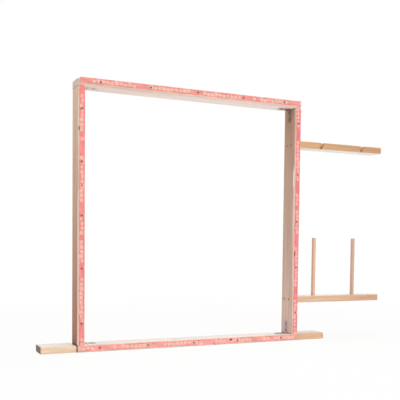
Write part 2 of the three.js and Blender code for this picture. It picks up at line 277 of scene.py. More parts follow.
class StripSettings(bpy.types.PropertyGroup):
    """Sizes and colours of the gripper strips."""

    # The four inks are one red, set apart per side partly by the print and partly as painted light
    top_ink: colour("Top ink", "Red ink on the top strip's face", "#EC938B")
    right_ink: colour("Right ink", "Red ink on the right strip's face", "#F28083")
    bottom_ink: colour("Bottom ink", "Red ink on the bottom strip's face", "#FAA198")
    left_ink: colour("Left ink", "Red ink on the left strip's face", "#F38782")
    ply: colour("Ply", "Bare face ply, which shows in the marks and at the edges", "#F6E3CF")
    core: colour("Core", "Core ply, seen at the edges", "#E6C8AA")
    knot: colour("Knot", "Knots that show through the ink", "#7E3522")
    thickness: size("Thickness", "Thickness of the lath", 6.5)
    chamfer: size("Chamfer", "Broken edge of the lath", 0.5)
    waver: size("Waver", "How far the sawn edges wander", 0.25)
    mark_pitch: size("Mark pitch", "From one printed mark to the next", 18)
    mark_height: size("Mark height", "Height of the printed marks across the strip", 14)
    print_margin: size("Print margin", "Bare wood left beside the print", 1.1)
    pin_pitch: size("Pin pitch", "From one tack pin to the next in a row", 50)
    pin_end_margin: size("Pin end margin", "Least distance from a pin to the strip's end", 5)
    pin_row_spacing: size("Pin row spacing", "From one row of pins to the other", 16)
    pin_radius: size("Pin radius", "Radius of a tack pin", 0.65)
    pin_reach: size("Pin reach", "How far a pin stands out of the strip", 4.8)
    pin_point: size("Pin point", "Length of a pin's ground point", 3)
    pin_lean: amount("Pin lean", "Lean away from the window", math.radians(30), subtype="ANGLE")
    nail_seed: IntProperty(name="Nail seed", description="Seed of the nails' small turns", default=4)


class SteelSettings(bpy.types.PropertyGroup):
    """Colours of the steel fixings."""

    nail: colour("Nail", "Darkened steel of the nails", "#7A6254")
    pin: colour("Pin", "Hardened steel of the tack pins", "#332E2B")
    bracket_screw: colour("Bracket screw", "Steel of the bracket screws", "#5A4A42")
    arm_screw: colour("Arm screw", "Yellow passivated steel of the arm screws", "#A27E5A")
    recess_depth: size("Recess depth", "Depth of the cross recess in a screw head", 1.3)
    dome: size("Dome", "How far a screw head's dome stands above its rim", 0.9)


class SpindleSettings(bpy.types.PropertyGroup):
    """Finish of the turned spindles."""

    inner_spindle: colour("Inner rod", "Turned beech of the inner spindle", "#EEC6AE")
    outer_spindle: colour("Outer rod", "Turned beech of the outer spindle", "#D9B5A0")
    fleck: colour("Fleck", "Rays and pores in the beech", "#B98360")
    ring_spacing: size("Ring spacing", "Width of one growth ring", 2.6)
    end_round: size("End round", "Radius of the softened ends", 1.5)


class StudioSettings(bpy.types.PropertyGroup):
    """Light round the frame."""

    sky_left: amount("Sky left", "Soft light from the left", 0.62)
    sky_right: amount("Sky right", "Soft light from the right", 0.65)
    overhead: amount("Overhead", "Power of the lamp above", 47, unit="POWER")
    front: amount("Front", "Power of the front lamp", 20, unit="POWER")
    floor: colour("Floor", "Matt white floor", "#F4F2F0")


class TuftingFrameSettings(bpy.types.PropertyGroup):
    """Everything that the panel shows."""

    pine: PointerProperty(type=PineSettings)
    strip: PointerProperty(type=StripSettings)
    steel: PointerProperty(type=SteelSettings)
    spindle: PointerProperty(type=SpindleSettings)
    studio: PointerProperty(type=StudioSettings)


# Node trees


def add(tree, kind, sockets=None, **settings):
    """Adds a node with its settings, and gives its sockets values or links to other nodes.

    A kind without Node in it is a shader node's, and a node given to a socket stands for its first
    output. Map Range turns the range at sockets 1 and 2 into the one at 3 and 4. Mix takes its factor
    at 0, numbers at 2 and 3 and colours at 6 and 7, and gives a colour at its output 2.
    """
    node = tree.nodes.new(kind if "Node" in kind else "ShaderNode" + kind)
    for name, value in settings.items():
        setattr(node, name, value)
    for name, value in (sockets or {}).items():
        if isinstance(value, bpy.types.Node):
            value = value.outputs[0]
        if isinstance(value, bpy.types.NodeSocket):
            tree.links.new(value, node.inputs[name])
        else:
            node.inputs[name].default_value = value
    return node


def new_group(name, kind, inputs, outputs):
    """An empty node group with named sockets, the sockets it is given and the ones it fills."""
    tree = bpy.data.node_groups.new(name, kind)
    for socket, socket_type in inputs.items():
        tree.interface.new_socket(socket, in_out="INPUT", socket_type="NodeSocket" + socket_type)
    for socket, socket_type in outputs.items():
        tree.interface.new_socket(socket, in_out="OUTPUT", socket_type="NodeSocket" + socket_type)
    return tree, add(tree, "NodeGroupInput").outputs, add(tree, "NodeGroupOutput").inputs


def new_material(name):
    """A material with an empty node tree."""
    material = bpy.data.materials.new(name)
    material.use_nodes = True
    material.node_tree.nodes.clear()
    return material, material.node_tree


def show(material, look, relief, strength, depth):
    """Ends a material's tree in its shader, with a relief that stands depth metres high."""
    tree = material.node_tree
    bump = add(tree, "Bump", {"Height": relief, "Strength": strength, "Distance": depth})
    shader = add(tree, "BsdfPrincipled", {**look, "Normal": bump})
    add(tree, "OutputMaterial", {"Surface": shader})
    return material


def pine_figure():
    """Node group of sawn pine: growth rings round the pith, knots that push them aside, and fibres.

    Place is in metres, with the pith on Z. End is how far a face is darkened, as end grain on the faces
    across the grain and as painted shade beside the sawn ends, and Tone is what the heartwood is
    multiplied by there, which on the uprights is painted shade.
    """
    numbers = dict.fromkeys(("End", "Ring Spacing", "Heartwood Radius"), "Float")
    colours = dict.fromkeys(("Early", "Sapwood", "Late", "Knot", "Sawn End", "Tone"), "Color")
    inputs = {"Place": "Vector", **numbers, **colours}
    tree, given, result = new_group(
        "pine_figure", "ShaderNodeTree", inputs, {"Colour": "Color", "Height": "Float"}
    )
    place = given["Place"]
    # The trunk's wander: about 4 mm sideways over a third of a metre
    drawn = add(tree, "VectorMath", {0: place, 1: (1, 1, 0.25)}, operation="MULTIPLY")
    wander = add(tree, "TexNoise", {"Vector": drawn, "Scale": 11, "Detail": 2})
    centred = add(tree, "VectorMath", {0: wander.outputs[1], 1: (0.5, 0.5, 0.5)}, operation="SUBTRACT")
    shift = add(tree, "VectorMath", {0: centred, "Scale": TRUNK_WANDER}, operation="SCALE")
    moved = add(tree, "VectorMath", {0: place, 1: shift}, operation="ADD")

    # Knots: about one in 240 mm of trunk and 85 mm across, 12 mm wide and drawn out along the grain
    cells = add(tree, "VectorMath", {0: place, 1: (1, 1, 0.35)}, operation="MULTIPLY")
    off_knot = add(tree, "TexVoronoi", {"Vector": cells, "Scale": 12}).outputs["Distance"]
    soft_edged = {"interpolation_type": "SMOOTHSTEP"}
    heart = add(tree, "MapRange", {0: off_knot, 1: 0.085, 2: 0.05, 3: 0, 4: 1}, **soft_edged)
    swirl = add(tree, "MapRange", {0: off_knot, 1: 0.3, 2: 0.05, 3: 0, 4: KNOT_PUSH}, **soft_edged)

    across = add(tree, "VectorMath", {0: moved, 1: (1, 1, 0)}, operation="MULTIPLY")
    radius = add(tree, "VectorMath", {0: across}, operation="LENGTH")
    pushed = add(tree, "Math", {0: radius.outputs["Value"], 1: swirl}, operation="ADD")
    count = add(tree, "Math", {0: pushed, 1: given["Ring Spacing"]}, operation="DIVIDE")
    phase = add(tree, "Math", {0: count}, operation="FRACT")
    # Each ring darkens slowly and ends sharply, at the two points that share x = 1
    ring = add(tree, "FloatCurve", {"Value": phase})
    points = ring.mapping.curves[0].points
    points[0].location = (0, 0.15)
    points[1].location = (1, 0.2)
    for x, y in ((0.75, 0.45), (0.9, 1), (1, 1)):
        points.new(x, y)
    ring.mapping.update()

    # Fibres: 8 mm streaks that show from afar, and 1 mm ones close by, both long and thin
    lengthwise = add(tree, "VectorMath", {0: place, 1: (1, 1, 0.03)}, operation="MULTIPLY")
    broad = add(tree, "TexNoise", {"Vector": lengthwise, "Scale": 130, "Detail": 2})
    fine = add(tree, "TexNoise", {"Vector": lengthwise, "Scale": 900, "Detail": 3})
    streak = add(tree, "MapRange", {0: broad, **NOISE_SPAN, 3: 0.86, 4: 1.1})
    hair = add(tree, "MapRange", {0: fine, **NOISE_SPAN, 3: 0.94, 4: 1.05})
    shade = add(tree, "Math", {0: streak, 1: hair}, operation="MULTIPLY")

    # Sapwood is paler than the heartwood inside it
    past = add(tree, "Math", {0: pushed, 1: given["Heartwood Radius"]}, operation="SUBTRACT")
    young = add(tree, "MapRange", {0: past, 1: 0, 2: SAPWOOD_FADE})
    # The heartwood is multiplied by the board's tone, which on the uprights is painted shade
    heartwood = add(tree, "VectorMath", {0: given["Early"], 1: given["Tone"]}, operation="MULTIPLY")
    ground = add(tree, "Mix", {0: young, 6: heartwood, 7: given["Sapwood"]}, data_type="RGBA")
    depth = add(tree, "Math", {0: ring, 1: RING_STRENGTH}, operation="MULTIPLY")
    multiplied = {"data_type": "RGBA", "blend_type": "MULTIPLY"}
    wood = add(tree, "Mix", {0: depth, 6: ground.outputs[2], 7: given["Late"]}, **multiplied)
    fibred = add(tree, "VectorMath", {0: wood.outputs[2], "Scale": shade}, operation="SCALE")
    knotted = add(tree, "Mix", {0: heart, 6: fibred, 7: given["Knot"]}, data_type="RGBA")
    ended = add(
        tree, "Mix", {0: given["End"], 6: knotted.outputs[2], 7: given["Sawn End"]}, **multiplied
    )
    tree.links.new(ended.outputs[2], result["Colour"])
    # Late wood stands proud where the plane has passed, and a knot more so
    relief = add(tree, "Math", {0: ring, 1: fine}, operation="ADD")
    height = add(tree, "Math", {0: relief, 1: heart}, operation="ADD")
    tree.links.new(height.outputs[0], result["Height"])
    return tree


def planed_pine(node, early):
    """Planed pine that only hands have touched: pale early wood, tan late wood, and darker sawn ends.

    Most boards have bare wood's soft gloss, and the uprights are dull.
    """
    pine = bpy.context.scene.tufting_frame.pine
    figure = bpy.data.node_groups.get("pine_figure") or pine_figure()
    axis, across, deep, along, heartwood, low_end_tone_and_shade, high_end_tone_and_shade, end_grain_and_shade_strength, shine = BOARDS[node]
    grain = GRAIN_AXES[axis]
    turn = Matrix.Rotation(math.pi / 2, 3, "Y") if axis == "X" else Matrix.Identity(3)
    low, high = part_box(node)
    pith = (low + high) / 2 + turn @ Vector((across, deep, along))

    material, tree = new_material("planed_pine_" + node)
    seen = add(tree, "TexCoord")
    place = add(
        tree,
        "Mapping",
        {"Vector": seen.outputs["Object"], "Location": pith, "Rotation": turn.to_euler()},
        vector_type="TEXTURE",
    )
    facing = add(tree, "VectorMath", {0: seen.outputs["Normal"], 1: grain}, operation="DOT_PRODUCT")
    turned = add(tree, "Math", {0: facing.outputs["Value"]}, operation="ABSOLUTE")
    end = add(tree, "MapRange", {0: turned, 1: 0.5, 2: 0.8, 3: 0, 4: 1})
    # The colour changes evenly from one end of the board to the other: on the uprights this is
    # painted shade, the left one darker at its foot and the right one darker at its top
    reach = add(tree, "VectorMath", {0: seen.outputs["Object"], 1: grain}, operation="DOT_PRODUCT")
    share = add(tree, "MapRange", {0: reach.outputs["Value"], 1: low.dot(grain), 2: high.dot(grain)})
    tones = {6: opaque(linear(low_end_tone_and_shade)), 7: opaque(linear(high_end_tone_and_shade))}
    tone = add(tree, "Mix", {0: share, **tones}, data_type="RGBA")
    # Painted shade darkens the last few millimetres of the faces beside the sawn ends, where boards
    # meet
    from_end = add(tree, "Math", {0: share, 1: 0.5}, operation="PINGPONG")
    rim = RIM_WIDTH / (high - low).dot(grain)
    painted_shade_rim = add(tree, "MapRange", {0: from_end, 1: 0, 2: rim, 3: 1, 4: 0})
    darkened = add(tree, "Math", {0: end, 1: painted_shade_rim}, operation="MAXIMUM")
    # How dark the ends are painted is set board by board: end grain, and painted shade for how each end
    # is lit
    end_darkening_and_shade = add(tree, "Math", {0: darkened, 1: end_grain_and_shade_strength}, operation="MULTIPLY")
    finish = {
        "Place": place,
        "End": end_darkening_and_shade,
        "Tone": tone.outputs[2],
        "Ring Spacing": pine.ring_spacing,
        "Heartwood Radius": heartwood,
        "Early": opaque(early),
        "Sapwood": opaque(pine.sapwood),
        "Late": opaque(pine.late_wood),
        "Knot": opaque(pine.knot),
        "Sawn End": opaque(pine.sawn_end),
    }
    wood = add(tree, "Group", finish, node_tree=figure)
    # The plane leaves a face smooth, and the saw leaves an end rough
    rough = add(tree, "MapRange", {0: end, 3: 0.25, 4: 0.88})
    look = {"Base Color": wood, "Roughness": rough, "Specular IOR Level": shine}
    return show(material, look, wood.outputs["Height"], strength=0.5, depth=0.12 * MM)


def turned_beech(node, tone):
    """Turned beech: warm and close-grained, with short dark flecks along it and a slight polish."""
    settings = bpy.context.scene.tufting_frame.spindle
    low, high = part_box(node)
    middle = (low + high) / 2
    pith = Vector((middle.x + BEECH_PITH[0], middle.y + BEECH_PITH[1], low.z))
    material, tree = new_material("turned_beech_" + node)
    seen = add(tree, "TexCoord").outputs["Object"]
    place = add(tree, "Mapping", {"Vector": seen, "Location": pith}, vector_type="TEXTURE")
    across = add(tree, "VectorMath", {0: place, 1: (1, 1, 0.02)}, operation="MULTIPLY")
    wander = add(tree, "TexNoise", {"Vector": across, "Scale": 60, "Detail": 2})
    radius = add(tree, "VectorMath", {0: across}, operation="LENGTH").outputs["Value"]
    bent = add(tree, "Math", {0: wander, 1: 5 * MM, 2: radius}, operation="MULTIPLY_ADD")
    count = add(tree, "Math", {0: bent, 1: settings.ring_spacing}, operation="DIVIDE")
    ring = add(tree, "Math", {0: count, 1: 1.0}, operation="PINGPONG")
    # Flecks: 0.6 mm wide and 8 mm long
    drawn = add(tree, "VectorMath", {0: place, 1: (1, 1, 0.08)}, operation="MULTIPLY")
    fleck = add(tree, "TexNoise", {"Vector": drawn, "Scale": 1600, "Detail": 1})
    marks = add(tree, "MapRange", {0: fleck, 1: 0.58, 2: 0.72, 3: 0, 4: 0.55})
    rings = add(tree, "Math", {0: ring, 1: 0.35, 2: marks}, operation="MULTIPLY_ADD")
    colours = {6: opaque(tone), 7: opaque(settings.fleck)}
    wood = add(tree, "Mix", {0: rings, **colours}, data_type="RGBA")
    look = {"Base Color": wood.outputs[2], "Roughness": 0.48}
    return show(material, look, rings, strength=0.3, depth=0.06 * MM)


def printed_marks(tree, strip, along, across):
    """1 where the print leaves a mark bare, less where the ink has run into it, and 0 elsewhere.

    Each cell of a strip holds sloping bars, a diamond or a pair of arrowheads, or stays plain.
    """
    pitch = strip.mark_pitch / MM
    half = strip.mark_height / MM / 2
    cell_at = add(tree, "Math", {0: along, 1: pitch}, operation="DIVIDE")
    cell = add(tree, "Math", {0: cell_at}, operation="FLOOR")
    inside = add(tree, "Math", {0: cell_at, 1: cell}, operation="SUBTRACT")
    from_middle = add(tree, "Math", {0: inside, 1: pitch, 2: -pitch / 2}, operation="MULTIPLY_ADD")
    off_middle = add(tree, "Math", {0: from_middle}, operation="ABSOLUTE")
    chance = add(tree, "TexWhiteNoise", {"W": cell}, noise_dimensions="1D")
    # No two marks are printed at the same height, as tall or as clean
    luck = add(tree, "SeparateXYZ", {0: chance.outputs["Color"]})
    slip = add(tree, "MapRange", {0: luck, 3: -MARK_SLIP, 4: MARK_SLIP})
    slipped = add(tree, "Math", {0: across, 1: slip}, operation="ADD")
    off_line = add(tree, "Math", {0: slipped}, operation="ABSOLUTE")
    heights = {3: LEAST_HEIGHT * half, 4: GREATEST_HEIGHT * half}
    tall = add(tree, "MapRange", {0: luck.outputs[1], **heights})
    low_enough = add(tree, "Math", {0: off_line, 1: tall}, operation="LESS_THAN")
    clean = add(tree, "MapRange", {0: luck.outputs[2], 3: CLEAN_LOW, 4: 1.0})

    # Sloping bars, and a pair of arrowheads made of a slope turned back at the middle line
    short_enough = add(tree, "Math", {0: off_middle, 1: MARK_HALF_LENGTH}, operation="LESS_THAN")
    striped = []
    for height, slope, spacing, share in ((across, *BARS), (off_line, *HEADS)):
        sloped = add(tree, "Math", {0: height, 1: slope, 2: from_middle}, operation="MULTIPLY_ADD")
        stripe_at = add(tree, "Math", {0: sloped, 1: spacing}, operation="DIVIDE")
        stripe_side = add(tree, "Math", {0: stripe_at}, operation="FRACT")
        stripe = add(tree, "Math", {0: stripe_side, 1: share}, operation="LESS_THAN")
        striped.append(add(tree, "Math", {0: stripe, 1: short_enough}, operation="MULTIPLY"))
    bars, heads = striped
    # An open diamond
    lozenge = add(tree, "Math", {0: off_middle, 1: off_line}, operation="ADD")
    outline = {0: lozenge, 1: half - DIAMOND_INSET, 2: DIAMOND_LINE}
    diamond = add(tree, "Math", outline, operation="COMPARE")

    is_bars = add(tree, "Math", {0: chance, 1: BARS_BELOW}, operation="LESS_THAN")
    is_heads = add(tree, "Math", {0: chance, 1: HEADS_ABOVE}, operation="GREATER_THAN")
    is_plain = add(tree, "Math", {0: chance, 1: PLAIN_ABOVE}, operation="GREATER_THAN")
    other = add(tree, "Mix", {0: is_heads, 2: diamond, 3: heads}, data_type="FLOAT")
    mark = add(tree, "Mix", {0: is_bars, 2: other, 3: bars}, data_type="FLOAT")
    shown = add(tree, "Math", {0: mark, 1: is_plain}, operation="SUBTRACT", use_clamp=True)

    # Runs of marks, with a bare stretch after each
    started = add(tree, "Math", {0: cell, 1: RUN_START}, operation="ADD")
    run_at = add(tree, "Math", {0: started, 1: RUN_CELLS}, operation="FLOORED_MODULO")
    in_run = add(tree, "Math", {0: run_at, 1: MARKED_CELLS - 0.5}, operation="LESS_THAN")
    marks = add(tree, "Math", {0: shown, 1: in_run}, operation="MULTIPLY")
    marked = add(tree, "Math", {0: marks, 1: low_enough}, operation="MULTIPLY")
    return add(tree, "Math", {0: clean, 1: marked}, operation="MULTIPLY")


def printed_plywood(side):
    """Poplar plywood, printed red on its face: the ink lets the grain through and leaves pale marks.

    The piece's own attribute strip_place holds millimetres along the strip, across it and up to its
    face, with each strip's lengths STRIP_OFFSET on from the last one's, so that no two look alike.
    """
    strip = bpy.context.scene.tufting_frame.strip
    material, tree = new_material(f"printed_poplar_plywood_{side}")
    place = add(tree, "Attribute", attribute_name="strip_place").outputs["Vector"]
    along, across, height = add(tree, "SeparateXYZ", {0: place}).outputs

    # Veneer grain: 2 mm streaks some 80 mm long, and faint patches 17 mm wide and 55 mm long
    drawn = add(tree, "VectorMath", {0: place, 1: (0.025, 1, 0.6)}, operation="MULTIPLY")
    grain = add(tree, "TexNoise", {"Vector": drawn, "Scale": 0.5, "Detail": 4})
    patch = add(tree, "VectorMath", {0: place, 1: (0.3, 1, 1)}, operation="MULTIPLY")
    cloud = add(tree, "TexNoise", {"Vector": patch, "Scale": 0.06, "Detail": 2})

    # Ink lies on the front face only, short of the edges, thin where the veneer is open
    normal = add(tree, "TexCoord").outputs["Normal"]
    front = add(tree, "VectorMath", {0: normal, 1: FRONT}, operation="DOT_PRODUCT")
    on_front = add(tree, "Math", {0: front.outputs["Value"], 1: 0.9}, operation="GREATER_THAN")
    print_edge = (strip_extent("top", 1) / 2 - strip.print_margin) / MM
    off_middle = add(tree, "Math", {0: across}, operation="ABSOLUTE")
    wavy = add(tree, "Math", {0: cloud, 1: PRINT_WAVE, 2: off_middle}, operation="MULTIPLY_ADD")
    in_print = add(tree, "Math", {0: wavy, 1: print_edge + PRINT_WAVE / 2}, operation="LESS_THAN")
    inked = add(tree, "Math", {0: on_front, 1: in_print}, operation="MULTIPLY")
    cover = add(tree, "MapRange", {0: grain, 1: 0.25, 2: 0.5, 3: 0.72, 4: 1})
    thin = add(tree, "Math", {0: inked, 1: cover}, operation="MULTIPLY")
    bare = printed_marks(tree, strip, along, across)
    uninked = add(tree, "Math", {0: 1.0, 1: bare}, operation="SUBTRACT")
    ink = add(tree, "Math", {0: thin, 1: uninked}, operation="MULTIPLY")

    # Three plies, of which the middle one shows its end grain along the edges
    middle = add(tree, "Math", {0: height, 1: strip.thickness / MM / 2}, operation="ADD")
    off_ply = add(tree, "Math", {0: middle}, operation="ABSOLUTE")
    is_core = add(tree, "Math", {0: off_ply, 1: CORE_HALF}, operation="LESS_THAN")
    plies = {6: opaque(strip.ply), 7: opaque(strip.core)}
    wood = add(tree, "Mix", {0: is_core, **plies}, data_type="RGBA")
    shade = add(tree, "MapRange", {0: grain, **NOISE_SPAN, 3: 0.9, 4: 1.06})
    veneer = add(tree, "VectorMath", {0: wood.outputs[2], "Scale": shade}, operation="SCALE")
    tint = add(tree, "MapRange", {0: cloud, **NOISE_SPAN, 3: 0.82, 4: 1.14})
    tone = getattr(strip, side + "_ink")
    red = add(tree, "VectorMath", {0: list(tone), "Scale": tint}, operation="SCALE")
    face = add(tree, "Mix", {0: ink, 6: veneer, 7: red}, data_type="RGBA")
    # Knots: drawn out along the lath, and darkest in the middle
    for x, z, half_length, half_width in LATH_KNOTS.get(side, ()):
        knot = strip_place(side).inverted() @ (Vector((x, 0, z)) * MM) / MM
        knot.x += list(SIDES).index(side) * STRIP_OFFSET
        knot.z = 0
        from_knot = add(tree, "VectorMath", {0: place, 1: knot}, operation="SUBTRACT")
        shape = (1 / half_length, 1 / half_width, 0)
        rounded = add(tree, "VectorMath", {0: from_knot, 1: shape}, operation="MULTIPLY")
        reach = add(tree, "VectorMath", {0: rounded}, operation="LENGTH").outputs["Value"]
        fade = {1: 1.2, 2: 0.5, 3: 0, 4: 1}
        dark = add(tree, "MapRange", {0: reach, **fade}, interpolation_type="SMOOTHSTEP")
        knotted = {0: dark, 6: face.outputs[2], 7: opaque(strip.knot)}
        face = add(tree, "Mix", knotted, data_type="RGBA")
    rough = add(tree, "MapRange", {0: ink, 3: 0.75, 4: 0.55})
    look = {"Base Color": face.outputs[2], "Roughness": rough}
    return show(material, look, grain, strength=0.4, depth=0.15 * MM)


def steel(name, tone, roughness, mottle, grit):
    """Steel as its plating leaves it: a metal tone, mottled by mottle over patches grit metres wide."""
    material, tree = new_material(name)
    seen = add(tree, "TexCoord").outputs["Object"]
    patch = add(tree, "TexNoise", {"Vector": seen, "Scale": 1 / grit, "Detail": 3})
    shade = add(tree, "MapRange", {0: patch, **NOISE_SPAN, 3: 1 - mottle, 4: 1 + mottle})
    shaded = add(tree, "VectorMath", {0: list(tone), "Scale": shade}, operation="SCALE")
    # Pale patches are the smoother ones
    span = {3: roughness + 0.1, 4: roughness - 0.08}
    rough = add(tree, "MapRange", {0: patch, **NOISE_SPAN, **span})
    look = {"Base Color": shaded, "Roughness": rough, "Metallic": 0.85}
    return show(material, look, patch, strength=0.3, depth=0.03 * MM)


# Meshes


def to_object(name, mesh, materials):
    """A new object at the origin that shows a mesh with its materials."""
    piece = bpy.data.objects.new(name, mesh)
    bpy.context.scene.collection.objects.link(piece)
    mesh.materials.clear()
    for material in materials:
        mesh.materials.append(material)
    return piece


def smooth(bm):
    """Makes the faces smooth, with a sharp line along each edge that turns more than SHARP."""
    for face in bm.faces:
        face.smooth = True
    for edge in bm.edges:
        edge.smooth = edge.is_manifold and edge.calc_face_angle() < SHARP


def settle(piece, body, nodes):
    """Lets a finished piece stand for its solids and ride on their body."""
    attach(piece, body)
    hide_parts(*nodes)


def shade_flat_faces(piece):
    """Lets the broken edges shine while the flat faces beside them stay flat."""
    weighted = piece.modifiers.new("flat faces", "WEIGHTED_NORMAL")
    weighted.keep_sharp = True


def eased_copy(name, node, ease, materials):
    """A copy of a solid whose flat faces are whole and whose sharp edges are broken, as by sanding."""
    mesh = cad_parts[node].data.copy()
    mesh.name = name
    bm = bmesh.new()
    bm.from_mesh(mesh)
    bmesh.ops.remove_doubles(bm, verts=bm.verts, dist=WELD)
    bmesh.ops.dissolve_limit(bm, angle_limit=FLAT, verts=bm.verts, edges=bm.edges)
    sharp = [edge for edge in bm.edges if edge.is_manifold and edge.calc_face_angle() > SHARP]
    round_over = {"offset_type": "OFFSET", "segments": 2, "profile": 0.5, "affect": "EDGES"}
    bmesh.ops.bevel(bm, geom=sharp, offset=ease, **round_over)
    smooth(bm)
    bm.to_mesh(mesh)
    bm.free()
    piece = to_object(name, mesh, materials)
    shade_flat_faces(piece)
    return piece


def lathe(profile, steps):
    """A closed mesh of revolution about Z from points (radius, height), whose ends lie on the axis."""
    bm = bmesh.new()
    turns = [2 * math.pi * i / steps for i in range(steps)]
    rings = []
    for radius, height in profile:
        around = [(radius * math.cos(a), radius * math.sin(a), height) for a in turns]
        rings.append([bm.verts.new(place) for place in (around if radius else around[:1])])
    for lower, upper in zip(rings, rings[1:]):
        for i in range(steps):
            j = (i + 1) % steps
            low = [lower[i % len(lower)], lower[j % len(lower)]]
            high = [upper[j % len(upper)], upper[i % len(upper)]]
            bm.faces.new(list(dict.fromkeys(low + high)))
    bmesh.ops.recalc_face_normals(bm, faces=bm.faces)
    return bm


def plain_mesh(name, bm):
    """Turns a finished bmesh into a mesh that is smooth but for its sharp edges."""
    smooth(bm)
    mesh = bpy.data.meshes.new(name)
    bm.to_mesh(mesh)
    bm.free()
    return mesh


def evaluated(piece):
    """The plain mesh that a piece's modifiers make."""
    graph = bpy.context.evaluated_depsgraph_get()
    return bpy.data.meshes.new_from_object(piece.evaluated_get(graph), depsgraph=graph)


def grown(name, base, tree, values):
    """The plain mesh that a Geometry Nodes tree makes from a base mesh, with no modifier left."""
    holder = to_object(name + "_base", base, [])
    modifier = holder.modifiers.new("grow", "NODES")
    modifier.node_group = tree
    for item in tree.interface.items_tree:
        if item.item_type == "SOCKET" and item.in_out == "INPUT" and item.name in values:
            modifier[item.identifier] = values[item.name]
    mesh = evaluated(holder)
    mesh.name = name
    bpy.data.objects.remove(holder)
    return mesh


def end_in_steel(tree, given, result, instances):
    """Ends a Geometry Nodes tree: its instances become one mesh in the steel that it is given."""
    real = add(tree, "GeometryNodeRealizeInstances", {"Geometry": instances})
    steeled = {"Geometry": real, "Material": given["Steel"]}
    finished = add(tree, "GeometryNodeSetMaterial", steeled)
    tree.links.new(finished.outputs[0], result["Geometry"])
    return tree


# Boards


class TUFTING_OT_boards(bpy.types.Operator):
    """Makes the eight planed pine boards, and gives the hidden tenons their beech"""

    bl_idname = "tufting_frame.boards"
    bl_label = "Boards"

    def execute(self, context):
        settings = context.scene.tufting_frame
        pine = settings.pine
        for node in BOARDS:
            material = planed_pine(node, list(getattr(pine, node)))
            board = eased_copy(node + "_board", node, pine.ease, [material])
            settle(board, "frame", [node])
        tenon_wood = turned_beech("left_foot_tenon", settings.spindle.outer_spindle)
        for hand in ("left", "right"):
            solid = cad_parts[hand + "_foot_tenon"]
            solid.data.materials.clear()
            solid.data.materials.append(tenon_wood)
        return {"FINISHED"}


# Gripper strips, each made with its length on X, its width on Y and its printed face at Z = 0


def strip_place(side):
    """The matrix that puts a strip made about the origin where its solid is."""
    along, out = SIDES[side]
    low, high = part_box(side + "_gripper_strip")
    middle = (low + high) / 2
    middle.y = high.y - bpy.context.scene.tufting_frame.strip.thickness
    return Matrix.Translation(middle) @ Matrix((along, out, FRONT)).transposed().to_4x4()


def strip_extent(side, way):
    """A strip's length, for way 0, or its width, for way 1."""
    low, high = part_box(side + "_gripper_strip")
    return abs((high - low).dot(SIDES[side][way]))


def lath_mesh(side, strip, number):
    """A lath lofted through short stations, whose sawn edges wander and whose edges are broken."""
    length = strip_extent(side, 0)
    x = strip_extent(side, 1) / 2
    y = strip.chamfer
    z = strip.thickness
    face = [(y - x, 0), (x - y, 0), (x, -y)]
    back = [(x, y - z), (x - y, -z), (y - x, -z), (-x, y - z)]
    section = [*face, *back, (-x, -y)]
    stations = round(length / STATION_SPACING)
    bm = bmesh.new()
    places = bm.verts.layers.float_vector.new("strip_place")
    rings = []
    for i in range(stations + 1):
        along = (i / stations - 0.5) * length
        ring = []
        for across, height in section:
            # Each edge of each lath reads the noise in a place of its own
            draw = noise.noise(Vector((along * SWAYS, math.copysign(5, across), number * 10)))
            pulled = across - math.copysign(strip.waver * abs(draw), across)
            vert = bm.verts.new((along, pulled, height))
            vert[places] = Vector((along, across, height)) / MM + Vector((number * STRIP_OFFSET, 0, 0))
            ring.append(vert)
        rings.append(ring)
    for near, far in zip(rings, rings[1:]):
        for i in range(len(section)):
            j = (i + 1) % len(section)
            bm.faces.new((near[i], near[j], far[j], far[i]))
    bm.faces.new(rings[0])
    bm.faces.new(list(reversed(rings[-1])))
    bmesh.ops.recalc_face_normals(bm, faces=bm.faces)
    return plain_mesh(side + "_lath", bm)


class TUFTING_OT_gripper_strips(bpy.types.Operator):
    """Makes the four printed plywood laths"""

    bl_idname = "tufting_frame.gripper_strips"
    bl_label = "Gripper Strips"

    def execute(self, context):
        strip = context.scene.tufting_frame.strip
        for number, side in enumerate(SIDES):
            mesh = lath_mesh(side, strip, number)
            mesh.transform(strip_place(side))
            lath = to_object(side + "_lath", mesh, [printed_plywood(side)])
            settle(lath, "frame", [side + "_gripper_strip"])
        return {"FINISHED"}


